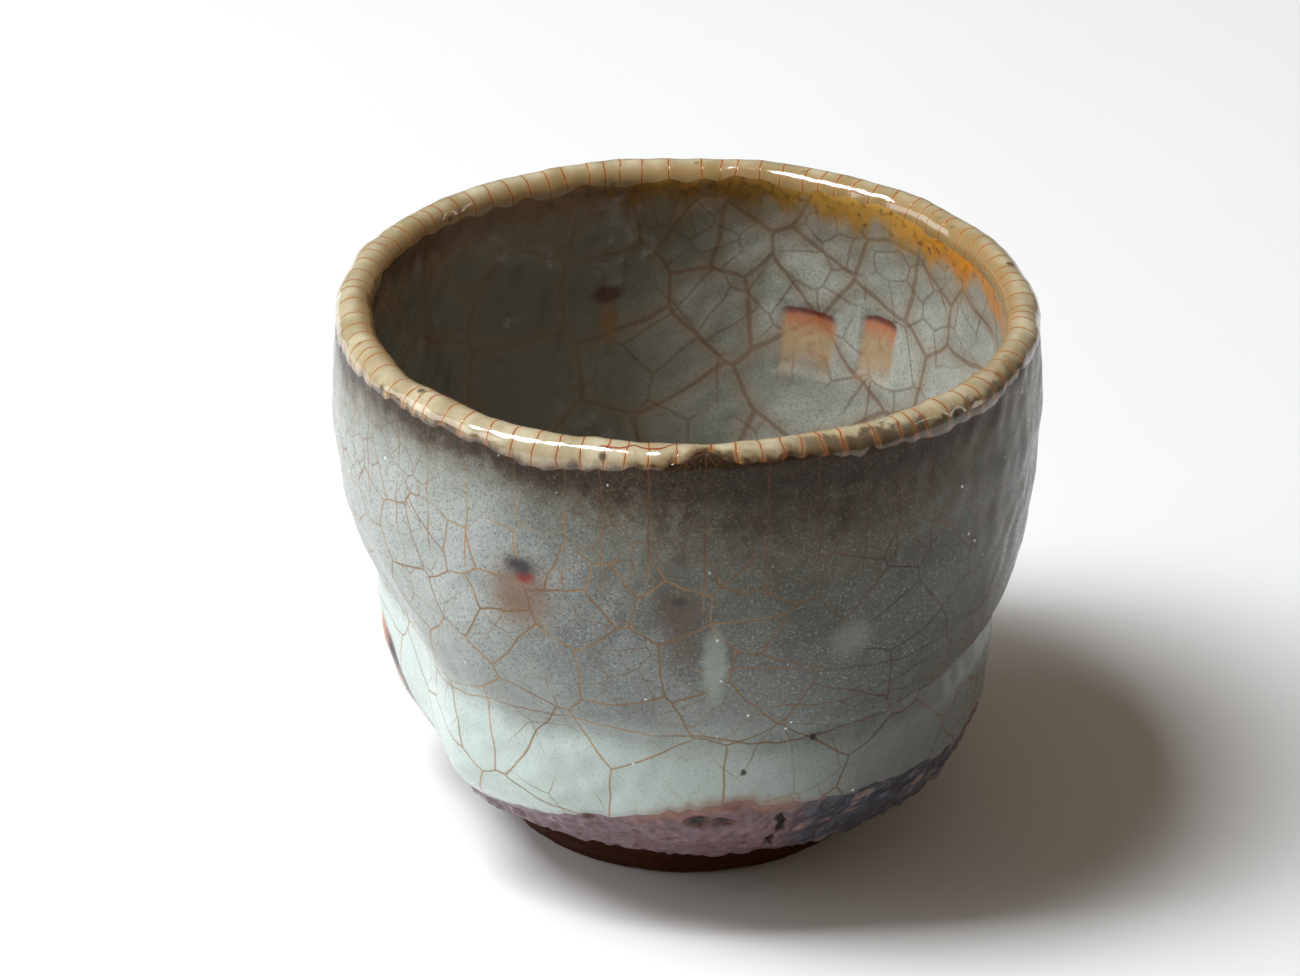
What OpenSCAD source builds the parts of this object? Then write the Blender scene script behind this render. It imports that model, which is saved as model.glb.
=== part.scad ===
// Small hand-thrown sake cup: a stoneware body on a turned foot ring, under four coats of glaze.
// Millimetres, +Z up. The origin is the centre of the circle that the foot ring stands on.

/* [Body] */
// Radius of the clay wall where the cup is widest
belly_r = 32.9; // [28:0.1:40]
// Distance of the widest place below the top of the lip
belly_drop = 11.5; // [8:0.5:14]
// Height from the table to the top of the glazed lip
cup_h = 52.4; // [44:0.1:64]
// Thickness of the thrown clay wall
wall_t = 2.6; // [2:0.1:3.4]
// Thickness of the clay at the lip
lip_t = 2.5; // [1.8:0.1:3.2]
// How far the outside of the lip leans in from the widest place
lip_lean = 0.3; // [0:0.1:1.5]
// Thickness of the clay floor above the foot ring's recess
floor_t = 4; // [3:0.1:6]

/* [Throwing groove] */
// Radius of the clay wall at the bottom of the groove
groove_r = 29.4; // [26:0.1:33]
// Height of the groove
groove_z = 22; // [18:0.5:24]
// How far the wall stands out just below the groove; just above it, it stands out twice as far
groove_relief = 0.55; // [0.1:0.05:0.8]
// Half of the groove's width
groove_half_w = 2.6; // [1.5:0.1:3.5]

/* [Heel] */
// Radius of the clay where the wall starts to turn under
heel_r = 28.8; // [25:0.1:32]
// Height where the wall starts to turn under
heel_z = 12.5; // [11:0.5:14]
// Radius of the clay's lower edge, where the glaze stops
hem_r = 22.9; // [21:0.1:25]
// Height of that lower edge
hem_z = 5.9; // [5.4:0.1:7]
// How far the curve between heel and hem swells out from a straight line
heel_swell = 0.9; // [0.3:0.1:1.3]

/* [Foot ring] */
// Radius of the foot ring where it stands
foot_r = 18.5; // [16:0.1:20]
// Radius of the foot ring where it meets the body
foot_top_r = 19; // [17:0.1:20.5]
// Height of the foot ring, which is also the depth of its recess
foot_h = 4.8; // [4:0.1:5.8]
// Width of the foot ring where it stands
foot_w = 4; // [3:0.1:5]
// How much wider the recess is where the ring stands than at its top
recess_flare = 0.5; // [0:0.1:1]
// Bevel on both edges of the standing face
foot_bevel = 0.5; // [0.2:0.1:0.8]

/* [Glaze] */
// Thickness of the glaze on the inner wall, the lip and the outer wall
glaze_t = 0.5; // [0.3:0.05:0.8]
// Thickness of the glaze roll where it has run down and stopped above the foot
roll_t = 1.1; // [0.8:0.05:1.5]

/* [Thumb dent] */
// Radius of the ball shape pressed into the wall
dent_r = 30; // [24:1:40]
// Depth of the dent, from the glaze over the groove
dent_depth = 3.4; // [2:0.1:4]
// Height of the dent's deepest place
dent_z = 19; // [17:0.5:22]
// Direction of the dent, counter-clockwise from +X
dent_angle = 200; // [0:5:355]

/* [Hidden] */

// Steps in each stretch of a smooth curve, in the half circle of the lip and in the bowl.
curve_steps = 5;
lip_steps = 12;
bowl_steps = 14;
$fn = 96;

lip_r = lip_t / 2;
lip_centre = [belly_r - lip_lean - lip_r, cup_h - glaze_t - lip_r];
belly_z = cup_h - belly_drop;
bowl_r = groove_r - wall_t;
bowl_h = groove_z - foot_h - floor_t;

function unit(v) = v / norm(v);

// The way a smooth curve runs at one of its points: halfway between the chords on either side.
function way_at(points, i) =
    let (
        before = i == 0 ? [0, 0] : unit(points[i] - points[i - 1]),
        after = i == len(points) - 1 ? [0, 0] : unit(points[i + 1] - points[i])
    )
    unit(before + after);

// A point on the smooth curve from b to c, which leaves b along way_b and reaches c along way_c.
function between(b, c, way_b, way_c, t) =
    let (reach = norm(c - b))
    b * (2 * t ^ 3 - 3 * t ^ 2 + 1) + way_b * reach * (t ^ 3 - 2 * t ^ 2 + t)
    + c * (3 * t ^ 2 - 2 * t ^ 3) + way_c * reach * (t ^ 3 - t ^ 2);

// A smooth curve through the points.
function smooth(points) = [
    for (i = [0 : len(points) - 2]) for (step = [0 : curve_steps - 1])
        between(
            points[i],
            points[i + 1],
            way_at(points, i),
            way_at(points, i + 1),
            step / curve_steps
        ),
    points[len(points) - 1]
];

hem = [hem_r, hem_z];
heel = [heel_r, heel_z];

// The middle of the stretch from hem to heel, swelled out at right angles to it.
heel_way = heel - hem;
swell = (hem + heel) / 2 + heel_swell * unit([heel_way.y, -heel_way.x]);

// The clay's outer face, upwards from the hem to where the lip's half circle starts.
outer_face = smooth([
    hem,
    swell,
    heel,
    [groove_r + groove_relief, groove_z - groove_half_w],
    [groove_r, groove_z],
    [groove_r + 2 * groove_relief, groove_z + groove_half_w],
    [belly_r, belly_z],
    [lip_centre.x + lip_r, lip_centre.y]
]);
heel_at = 2 * curve_steps;
lip_start = len(outer_face) - 1;

// The half circle over the lip, without its ends.
lip_arc = [
    for (step = [1 : lip_steps - 1])
        let (angle = 180 * step / lip_steps)
        lip_centre + lip_r * [cos(angle), sin(angle)]
];
lip_top = lip_start + lip_steps / 2;
lip_end = lip_start + lip_steps;

// The clay's inner face, downwards: the wall, then a bowl that is a quarter of an ellipse.
inner_wall = smooth([
    [lip_centre.x - lip_r, lip_centre.y],
    [belly_r - wall_t, belly_z],
    [bowl_r, groove_z]
]);
bowl = [
    for (step = [1 : bowl_steps])
        let (angle = 90 * step / bowl_steps)
        [bowl_r * cos(angle), groove_z - bowl_h * sin(angle)]
];

// One line round the clay's skin, from the hem over the lip to the middle of the bowl.
skin = concat(outer_face, lip_arc, inner_wall, bowl);
skin_end = len(skin) - 1;

// The way out of the clay at a point of the skin. It is level at both ends of the lip.
function way_out(i) =
    let (way = skin[min(i + 1, skin_end)] - skin[max(i - 1, 0)])
    i == lip_start ? [1, 0] :
    i == lip_end ? [-1, 0] :
    i == skin_end ? [0, 1] :
    unit([way.y, -way.x]);

// A coat's thickness at a point of the skin. The roll is thickest at the hem, and at the heel it
// is as thin as the other coats.
function coat_t(i) =
    i < heel_at ? glaze_t + (roll_t - glaze_t) * cos(90 * i / heel_at) ^ 0.7 : glaze_t;

// The skin's points from one to another, and the coat's free surface over them.
function clay_line(from, to) = [for (i = [from : to]) skin[i]];
function free_line(from, to) = [for (i = [from : to]) skin[i] + coat_t(i) * way_out(i)];
function backwards(line) = [for (i = [len(line) - 1 : -1 : 0]) line[i]];

// A solid turned about +Z.
module turned(outline) {
    rotate_extrude() polygon(outline);
}

// The ball that presses the dent, grown by the layers between the dent and a surface behind it.
module dent_ball(grown) {
    rotate([0, 0, dent_angle])
        translate([groove_r + glaze_t - dent_depth + dent_r, 0, dent_z])
            sphere(r = dent_r + grown);
}

// The clay as it would be with no hollow in it.
module clay_block() {
    difference() {
        turned(concat(
            clay_line(0, lip_top),
            [[0, skin[lip_top].y], [0, foot_h], [foot_top_r, foot_h]]
        ));
        dent_ball(glaze_t);
    }
}

// The hollow inside a line that runs down from the lip to the middle of the bowl, closed at a
// height. The wall behind the dent stands into it.
module hollow(line, closed_at, grown) {
    difference() {
        turned(concat(line, [[0, closed_at], [line[0].x, closed_at]]));
        dent_ball(grown);
    }
}

// A coat on the outside of the clay, between two points of the skin. It is cut from a solid disc
// that comes in to a point on the axis, inside the clay.
module outside_coat(from, to) {
    difference() {
        turned(concat(
            free_line(from, to),
            [skin[to], [0, (skin[from].y + skin[to].y) / 2], skin[from]]
        ));
        dent_ball(0);
        clay_block();
    }
}

module clay_body() {
    color("#4a2a1a")
        difference() {
            clay_block();
            hollow(clay_line(lip_top, skin_end), cup_h, glaze_t + wall_t);
        }
}

module foot_ring() {
    inner_r = foot_r - foot_w;
    color("#3a1c10")
        turned([
            [foot_r - foot_bevel, 0],
            [foot_r, foot_bevel],
            [foot_top_r, foot_h],
            [inner_r - recess_flare, foot_h],
            [inner_r, foot_bevel],
            [inner_r + foot_bevel, 0]
        ]);
}

module inner_glaze() {
    color("#8f9890")
        difference() {
            hollow(clay_line(lip_end, skin_end), skin[lip_end].y, glaze_t + wall_t);
            hollow(free_line(lip_end, skin_end), cup_h, 2 * glaze_t + wall_t);
        }
}

module outer_glaze() {
    color("#9aa5a0")
        outside_coat(heel_at, lip_start);
}

module lip_glaze() {
    color("#d8c8a4")
        turned(concat(clay_line(lip_start, lip_end), backwards(free_line(lip_start, lip_end))));
}

module glaze_roll() {
    color("#8a7580")
        outside_coat(0, heel_at);
}

clay_body();
foot_ring();
inner_glaze();
outer_glaze();
lip_glaze();
glaze_roll();
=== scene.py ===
import math

import bpy
import numpy as np
from mathutils import Matrix, Vector


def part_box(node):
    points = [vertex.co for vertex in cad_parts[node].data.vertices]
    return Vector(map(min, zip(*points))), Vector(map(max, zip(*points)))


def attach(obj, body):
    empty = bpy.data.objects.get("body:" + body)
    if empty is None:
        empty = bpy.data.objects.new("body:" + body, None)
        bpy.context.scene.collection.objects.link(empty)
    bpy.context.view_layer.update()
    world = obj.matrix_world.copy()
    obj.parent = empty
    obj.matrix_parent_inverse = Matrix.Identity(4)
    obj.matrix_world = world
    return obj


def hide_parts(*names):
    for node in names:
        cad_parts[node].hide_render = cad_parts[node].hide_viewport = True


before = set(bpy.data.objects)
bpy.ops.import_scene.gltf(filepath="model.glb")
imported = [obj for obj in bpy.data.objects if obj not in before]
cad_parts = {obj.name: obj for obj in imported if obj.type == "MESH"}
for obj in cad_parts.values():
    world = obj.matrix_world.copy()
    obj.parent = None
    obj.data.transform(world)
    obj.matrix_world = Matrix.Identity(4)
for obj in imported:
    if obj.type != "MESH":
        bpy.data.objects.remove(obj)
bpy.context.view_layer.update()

# ------------------------------------------------------------------------------ clay body
# The body is one wall of coarse, iron-rich stoneware, thrown on the wheel. A thumb was pressed into
# its left side while it was soft. Only the turned face underneath it stays bare after glazing.

# Millimetres from here on, and turns are degrees round the cup from its front, positive to the right.
MM = 0.001


def corners(node):
    """The low and the high corner of a CAD piece's box."""
    low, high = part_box(node)
    return np.array(low) / MM, np.array(high) / MM


clay_high = corners("clay_body")[1]
foot_high = corners("foot_ring")[1]
bowl_low = corners("inner_glaze")[0]
lip_low, lip_high = corners("lip_glaze")
roll_high = corners("glaze_roll")[1]

glaze_t = lip_high[2] - clay_high[2]
lip_r = clay_high[2] - lip_low[2]
lip_x = lip_high[0] - glaze_t - lip_r
lip_z = lip_low[2]
belly_r = clay_high[0]
belly_drop = 11.5
belly_z = lip_high[2] - belly_drop
wall_t = 2.6
groove_r = 29.4
groove_z = 22.0
groove_relief = 0.55
groove_half_w = 2.6
heel_r = 28.8
heel_z = roll_high[2]
hem_r = 22.9
hem_z = 5.9
under_swell = (26.2, 8.9)
foot_r = foot_high[0]
foot_h = foot_high[2]
floor_z = bowl_low[2]
bowl_r = groove_r - wall_t


def smooth_line(points, steps=40):
    """A smooth line through the points. Its ways there are halfway between the neighbouring chords."""
    points = np.array(points, float)
    chords = np.diff(points, axis=0)
    units = chords / np.linalg.norm(chords, axis=1)[:, None]
    ways = np.vstack([units[:1], units[1:] + units[:-1], units[-1:]])
    ways /= np.linalg.norm(ways, axis=1)[:, None]
    t = np.linspace(0, 1, steps, endpoint=False)[:, None]
    stretches = []
    for start, end, way, next_way in zip(points[:-1], points[1:], ways[:-1], ways[1:]):
        reach = np.linalg.norm(end - start)
        from_start = start * (2 * t**3 - 3 * t**2 + 1) + reach * way * (t**3 - 2 * t**2 + t)
        from_end = end * (3 * t**2 - 2 * t**3) + reach * next_way * (t**3 - t**2)
        stretches.append(from_start + from_end)
    return np.vstack(stretches + [points[-1:]])


def arc_line(centre, radii, start, end, steps=60):
    """Points on an arc of an ellipse between two angles, without the first one."""
    angles = np.radians(np.linspace(start, end, steps + 1)[1:])
    return np.array(centre) + np.stack([np.cos(angles), np.sin(angles)], axis=1) * radii


under = np.array([(foot_r, foot_h), (hem_r, hem_z)])
outside = smooth_line([
    (hem_r, hem_z), under_swell, (heel_r, heel_z),
    (groove_r + groove_relief, groove_z - groove_half_w), (groove_r, groove_z),
    (groove_r + 2 * groove_relief, groove_z + groove_half_w), (belly_r, belly_z),
    (lip_x + lip_r, lip_z),
])
over_lip = arc_line((lip_x, lip_z), lip_r, 0, 180)
inside = smooth_line([(lip_x - lip_r, lip_z), (belly_r - wall_t, belly_z), (bowl_r, groove_z)])
round_bowl = arc_line((0, groove_z), (bowl_r, groove_z - floor_z), 0, -90)
outline = np.vstack([under[:-1], outside, over_lip, inside[1:], round_bowl])

# The outline again with evenly spaced points, softly rounded, and how far along it each one is.
outline_step = 0.05
soft_reach = 18
along = np.append(0, np.cumsum(np.linalg.norm(np.diff(outline, axis=0), axis=1)))
places = np.linspace(0, along[-1], int(along[-1] / outline_step))
outline = np.stack([np.interp(places, along, outline[:, k]) for k in (0, 1)], axis=1)
along = places
softener = np.exp(-0.5 * (np.arange(-soft_reach, soft_reach + 1) / (soft_reach / 3)) ** 2)
softener /= softener.sum()
for k in (0, 1):
    padded = np.pad(outline[:, k], soft_reach, "reflect", reflect_type="odd")
    outline[:, k] = np.convolve(padded, softener, "valid")
outline[-1, 0] = 0.0
way_out = np.gradient(outline, axis=0)[:, ::-1] * (1, -1)
way_out /= np.linalg.norm(way_out, axis=1)[:, None]
way_out[-1] = 0, 1


def place_of(r, z):
    """How far along the outline its nearest point to a radius and a height is."""
    return along[np.argmin(np.hypot(outline[:, 0] - r, outline[:, 1] - z))]


hem_at = place_of(hem_r, hem_z)
lip_start = place_of(lip_x + lip_r, lip_z)
lip_end = place_of(lip_x - lip_r, lip_z)
bowl_at = along[-1]


def rise(value, start, end):
    """0 up to start, 1 from end on, and smooth between them."""
    t = np.clip((value - start) / (end - start), 0, 1)
    return t * t * (3 - 2 * t)


def swells(points, size, seed, count=16):
    """Soft random unevenness, about 1 high, in waves of about that size."""
    draw = np.random.default_rng(seed)
    ways = draw.normal(size=(count, 3))
    ways *= (draw.uniform(0.6, 1.5, count) * 2 * np.pi / size / np.linalg.norm(ways, axis=1))[:, None]
    shifts = draw.uniform(0, 2 * np.pi, count)
    total = 0
    for way, shift in zip(ways, shifts):
        total = total + np.sin(points @ way + shift)
    return total / math.sqrt(count / 2)


def away(turns, other):
    """Degrees from another turn, the short way round."""
    return (turns - other + 180) % 360 - 180


dent_turn = -70.0
dent_z = 18.5
dent_half_w = 11.5
dent_half_h = 15.5
dent_depth = 3.0
dent_softness = 0.06


def fired(points):
    """Where a point of the true form ends up once the cup is handled, dented, dried and fired."""
    r = np.hypot(points[..., 0], points[..., 1])
    z = points[..., 2]
    turns = np.degrees(np.arctan2(points[..., 0], -points[..., 1]))
    whole = rise(z, 3.0, 14)
    oval = 0.16 * np.sin(np.radians(2 * turns + 40)) + 0.1 * np.sin(np.radians(3 * turns + 130))
    push = (oval + 0.12 * swells(points, 17, 3)) * whole
    across = np.radians(away(turns, dent_turn)) * groove_r / dent_half_w
    press = across**2 + ((z - dent_z) / dent_half_h) ** 2
    hollow = 0.5 * (1 - press + np.sqrt((1 - press) ** 2 + dent_softness))
    push = push - dent_depth * hollow * rise(r, 9, 25)
    lift = 0.12 * np.sin(np.radians(2 * turns + 75)) + 0.1 * np.sin(np.radians(3 * turns + 20))
    lift = (lift - 0.005 * points[..., 0]) * rise(z, 20, 50)
    grown = 1 + push / np.maximum(r, 8)
    return np.stack([points[..., 0] * grown, points[..., 1] * grown, z + lift], axis=-1)


def finger_relief(s, turns, z):
    """How far the potter's fingers left the outside of the wall above or below its even form."""
    outer = rise(s, hem_at + 1, hem_at + 6) * rise(lip_start - s, 0, 6)
    rings = 0.05 * np.sin(2 * np.pi * z / 6.1 + np.radians(turns))
    right = np.exp(-((away(turns, 84) / 36) ** 2))
    step = right * rise(-z, -22.9, -21.9) * rise(z, 9, 15)
    filled = (1 - right) * np.exp(-(((z - 21.8) / 1.8) ** 2))
    tucked = np.exp(-((away(turns, -25) / 30) ** 2)) * np.exp(-(((z - 8.4) / 2.2) ** 2))
    return outer * (rings - 0.8 * step + 0.42 * filled - 0.8 * tucked)


def true_form(s, turns, lift=0.0):
    """Points of the cup as it came off the wheel, at a height above the clay's skin."""
    r, z = (np.interp(s, along, outline[:, k]) for k in (0, 1))
    out_r, out_z = (np.interp(s, along, way_out[:, k]) for k in (0, 1))
    lift = lift + finger_relief(s, turns, z)
    a = np.radians(turns)
    r = r + lift * out_r
    return np.stack([r * np.sin(a), -r * np.cos(a), z + lift * out_z], axis=-1)


def surface(s, turns, coat):
    """The fired cup's surface over a coat whose thickness is a function of the place and the turn."""
    return fired(true_form(s, turns, coat(s, turns)))


def facing(s, turns, coat, ds=0.03, dt=0.06):
    """The ways out of that surface. Pieces that meet shade as one, because they share it."""
    on = surface(s + ds, turns, coat) - surface(s - ds, turns, coat)
    round_cup = surface(s, turns + dt, coat) - surface(s, turns - dt, coat)
    ways = np.cross(round_cup, on)
    size = np.linalg.norm(ways, axis=-1, keepdims=True)
    return np.where(size > 1e-9, ways / np.maximum(size, 1e-9), (0, 0, 1))


def make_piece(name, grid, ways, closed, marks=()):
    """A mesh through rows of points that run round the cup. A row in one point is a pole. Where
    ways is zero, the mesh's own normals stay. marks are named values for each point."""
    rows, steps = grid.shape[:2]
    poles = [np.ptp(row, axis=0).max() < 1e-5 for row in grid]
    index = np.zeros((rows, steps), int)
    kept = []
    for i, row in enumerate(index):
        start = sum(map(len, kept))
        kept.append(np.arange(1 if poles[i] else steps) + i * steps)
        row[:] = start + np.arange(steps) * (not poles[i])
    kept = np.concatenate(kept)
    faces = []
    pairs = [(i, i + 1) for i in range(rows - 1)] + [(rows - 1, 0)] * closed
    for i, j in pairs:
        a, b = index[i], np.roll(index[i], -1)
        c, d = np.roll(index[j], -1), index[j]
        if poles[i] and poles[j]:
            continue
        sides = (a, c, d) if poles[i] else (a, b, c) if poles[j] else (a, b, c, d)
        faces.extend(np.stack(sides, axis=1).tolist())
    mesh = bpy.data.meshes.new(name)
    mesh.from_pydata((grid.reshape(-1, 3)[kept] * MM).tolist(), [], faces)
    mesh.shade_smooth()
    for mark, values in marks:
        mesh.attributes.new(mark, "FLOAT", "POINT").data.foreach_set("value", values.reshape(-1)[kept])
    mesh.normals_split_custom_set_from_vertices(ways.reshape(-1, 3)[kept].tolist())
    piece = bpy.data.objects.new(name, mesh)
    bpy.context.collection.objects.link(piece)
    return piece


def srgb(red, green, blue):
    """A colour for a shader, from its 0 to 255 screen values."""
    parts = [c / 12.92 if c <= 0.04045 else ((c + 0.055) / 1.055) ** 2.4
             for c in (red / 255, green / 255, blue / 255)]
    return (*parts, 1.0)


class Finish:
    """A material, built up from its nodes. Values are numbers, colours or the outputs of nodes."""

    def __init__(self, name):
        self.material = bpy.data.materials.new(name)
        self.material.use_nodes = True
        self.tree = self.material.node_tree
        self.shader = self.tree.nodes["Principled BSDF"]
        place = self.tree.nodes.new("ShaderNodeTexCoord").outputs["Object"]
        self.at = self.vector("SCALE", place, scale=1 / MM)
        split = self.tree.nodes.new("ShaderNodeSeparateXYZ")
        self.put(split.inputs[0], self.at)
        self.x, self.y, self.z = split.outputs

    def put(self, socket, value):
        if isinstance(value, bpy.types.NodeSocket):
            self.tree.links.new(value, socket)
        else:
            socket.default_value = value

    def node(self, kind, values, output=0, **settings):
        made = self.tree.nodes.new("ShaderNode" + kind)
        for name, value in settings.items():
            setattr(made, name, value)
        for name, value in values.items():
            self.put(made.inputs[name], value)
        return made.outputs[output]

    def math(self, operation, *values):
        return self.node("Math", dict(enumerate(values)), operation=operation)

    def vector(self, operation, *values, scale=None):
        inputs = dict(enumerate(values))
        if scale is not None:
            inputs["Scale"] = scale
        output = "Value" if operation == "LENGTH" else 0
        return self.node("VectorMath", inputs, output, operation=operation)

    def join(self, x, y, z):
        return self.node("CombineXYZ", {0: x, 1: y, 2: z})

    def rise(self, value, start, end, low=0.0, high=1.0):
        values = {"Value": value, "From Min": start, "From Max": end, "To Min": low, "To Max": high}
        return self.node("MapRange", values, interpolation_type="SMOOTHSTEP")

    def mix(self, share, first, second):
        return self.node("Mix", {0: share, 6: first, 7: second}, 2, data_type="RGBA")

    def noise(self, size, seed, detail=2.0, at=None, output=0, rough=0.55):
        values = {"Vector": at or self.at, "W": seed, "Scale": 1 / size, "Detail": detail,
                  "Roughness": rough}
        return self.node("TexNoise", values, output, noise_dimensions="4D")

    def grit(self, size, seed):
        """The distance to the middle of the nearest grain, for grains about that far apart."""
        shifted = self.vector("ADD", self.at, (17.0 * seed, 31.0 * seed, 5.0 * seed))
        return self.node("TexVoronoi", {"Vector": shifted, "Scale": 1 / size}, "Distance")

    def bent(self, at, size, reach, seed):
        """The same places, each moved a little by a soft noise."""
        drift = self.vector("SUBTRACT", self.noise(size, seed, at=at, output=1), (0.5, 0.5, 0.5))
        return self.vector("ADD", at, self.vector("SCALE", drift, scale=2 * reach))

    def mark(self, name):
        """A named value that the mesh carries at its points."""
        return self.node("Attribute", {}, "Fac", attribute_name=name)

    def cracks(self, size, width, seed):
        """1 on the lines of a crack pattern with cells of about that size, and 0 off them. The wall
        is spread out flat as rings round the cup's middle, so that the pattern meets itself."""
        level = self.join(self.x, self.y, 0.0)
        spread = self.mark("spread")
        flat = self.vector("SCALE", self.vector("NORMALIZE", level), scale=spread)
        flat = self.bent(flat, size * 1.1, size * 0.16, seed + 0.5)
        flat = self.vector("ADD", flat, (seed * 90.0, 0, 0))
        values = {"Vector": flat, "Scale": 1 / size}
        edge = self.node("TexVoronoi", values, "Distance", voronoi_dimensions="2D",
                         feature="DISTANCE_TO_EDGE")
        shrunk = self.math("DIVIDE", self.vector("LENGTH", level), spread)
        off = self.math("MULTIPLY", edge, self.math("MULTIPLY", shrunk, size))
        return self.rise(off, 0.2 * width, 0.6 * width, 1.0, 0.0)

    def upright_cracks(self, arc, size, width, seed, sway=0.3, sway_size=6.0):
        """1 on lines that run up the wall about that far apart, and 0 off them."""
        drift = self.math("SUBTRACT", self.noise(sway_size, seed), 0.5)
        line = self.math("ADD", arc, self.math("MULTIPLY", drift, 4 * sway * size))
        values = {"W": self.math("ADD", line, 40.0 * seed), "Scale": 1 / size}
        edge = self.node("TexVoronoi", values, "Distance", voronoi_dimensions="1D",
                         feature="DISTANCE_TO_EDGE")
        return self.rise(edge, 0.2 * width / size, 0.6 * width / size, 1.0, 0.0)

    def spot(self, at, centre, radii, soft=0.5):
        """1 in an ellipse around a place on the unrolled wall, and 0 outside it."""
        off = self.vector("DIVIDE", self.vector("SUBTRACT", at, centre), radii)
        return self.rise(self.vector("LENGTH", off), 1.0 - soft, 1.0 + soft, 1.0, 0.0)

    def done(self, colour, rough, relief=None, relief_mm=0.02, **constants):
        """The finished material. constants are set on the shader's own sockets."""
        self.put(self.shader.inputs["Base Color"], colour)
        self.put(self.shader.inputs["Roughness"], rough)
        if relief is not None:
            bump = {"Height": relief, "Distance": relief_mm * MM, "Strength": 1.0}
            self.put(self.shader.inputs["Normal"], self.node("Bump", bump))
        for name, value in constants.items():
            self.shader.inputs[name.replace("_", " ")].default_value = value
        return self.material


def bare(s, turns):
    """The clay has no coat over it."""
    return 0.0 * s


full_circle = np.linspace(-180, 180, 320, endpoint=False)
recess_r = np.linspace(0, foot_r - 0.6, 44)[:, None]
turning = 0.07 * np.sin(recess_r * 2.6) - 0.5 * np.exp(-((recess_r / 2.6) ** 2))
turning = (turning + 0.05 * np.sin(recess_r * 7.1 + np.radians(full_circle))) * rise(recess_r, 0, 0.5)
a = np.radians(full_circle)
recess = np.stack([recess_r * np.sin(a), -recess_r * np.cos(a), foot_h + 0.08 + turning], axis=-1)
recess[0] = (0, 0, foot_h - 0.3)
s = np.arange(0, bowl_at, 0.45)[:, None] + 0 * full_circle
s = np.vstack([s, 0 * full_circle[None] + bowl_at])
clay_grid = np.vstack([recess, surface(s, full_circle, bare)])
clay = make_piece("clay_wall", clay_grid, 0 * clay_grid, closed=False)

paint = Finish("bare_clay")
grog = paint.rise(paint.grit(0.9, 1), 0.1, 0.3, 1.0, 0.0)
grain = paint.noise(0.35, 1, detail=4)
toast = paint.rise(paint.z, 4.9, 6.4)
earth = paint.mix(paint.noise(7, 2), srgb(52, 26, 14), srgb(92, 48, 26))
earth = paint.mix(paint.rise(grain, 0.4, 0.75), earth, srgb(38, 18, 10))
earth = paint.mix(paint.math("MULTIPLY", grog, 0.35), earth, srgb(128, 86, 58))
earth = paint.mix(paint.math("MULTIPLY", toast, 0.5), earth, srgb(120, 58, 26))
rough = paint.rise(grain, 0.2, 0.8, 0.55, 0.85)
relief = paint.math("ADD", grain, paint.math("MULTIPLY", grog, 0.6))
clay.data.materials.append(paint.done(earth, rough, relief, 0.06, Specular_IOR_Level=0.35))
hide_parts("clay_body")
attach(clay, "root")

# ------------------------------------------------------------------------------ foot ring
# The ring that the cup stands on, turned from the same clay when it was leather-hard. It is left
# bare, so that it doesn't stick to the kiln shelf, and fires to a dark satin red-brown.

foot_base_r = 18.5
foot_w = 4.0
foot_bevel = 0.5
recess_flare = 0.5
ring_line = smooth_line([
    (foot_base_r - foot_w - recess_flare, foot_h + 0.25), (foot_base_r - foot_w - 0.3, foot_h / 2),
    (foot_base_r - foot_w, foot_bevel), (foot_base_r - foot_w + foot_bevel, 0.0),
    (foot_base_r - foot_w / 2, 0.0), (foot_base_r - foot_bevel, 0.0), (foot_base_r, foot_bevel),
    (foot_base_r + 0.1, foot_h / 2), (foot_r, foot_h + 0.25),
], steps=9)
a = np.radians(full_circle)
ring_r, ring_z = ring_line[:, :1], ring_line[:, 1:]
sides = rise(ring_z, 0.1, 1.2)
cut = 0.1 * np.sin(ring_z * 3.4 + 0.6 * np.sin(a)) + 0.05 * np.sin(ring_z * 9 + 2 * a)
ring_points = np.stack([ring_r * np.sin(a), -ring_r * np.cos(a), ring_z + 0 * a], axis=-1)
cut = cut * sides + 0.12 * swells(ring_points, 9, 11) * sides + 0.03 * swells(ring_points, 1.6, 12)
outward = np.where(ring_r > foot_base_r - foot_w / 2, 1.0, -1.0)
ring_r = ring_r + outward * (cut - 0.15)
lifted = ring_z + rise(-ring_z, -0.6, 0) * 0.06 * (1 + swells(ring_points, 6, 13)).clip(0)
ring_grid = np.stack([ring_r * np.sin(a), -ring_r * np.cos(a), lifted.clip(0)], axis=-1)
foot = make_piece("turned_foot", ring_grid, 0 * ring_grid, closed=True)

paint = Finish("turned_clay")
grain = paint.noise(0.3, 3, detail=4)
lines = paint.noise(0.5, 4, at=paint.join(0.0, 0.0, paint.math("MULTIPLY", paint.z, 2.2)))
earth = paint.mix(paint.noise(6, 5), srgb(38, 15, 5), srgb(74, 31, 11))
earth = paint.mix(paint.rise(lines, 0.45, 0.7, 0.0, 0.6), earth, srgb(34, 15, 8))
earth = paint.mix(paint.rise(grain, 0.55, 0.8, 0.0, 0.5), earth, srgb(98, 52, 28))
earth = paint.mix(paint.rise(paint.z, 0.5, 0.0, 0.0, 0.6), earth, srgb(118, 76, 50))
rough = paint.rise(grain, 0.2, 0.8, 0.42, 0.66)
relief = paint.math("ADD", grain, lines)
foot.data.materials.append(paint.done(earth, rough, relief, 0.05, Specular_IOR_Level=0.16))
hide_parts("foot_ring")
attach(foot, "root")

# ------------------------------------------------------------------------------ inner glaze
# The lining was poured in and swilled round, then poured out. It is a thick grey-green coat with
# wide brown crackle, an amber run of iron under the lip, and two finger marks that fired orange.

roll_t = 1.1
back_depth = 0.15


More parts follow.
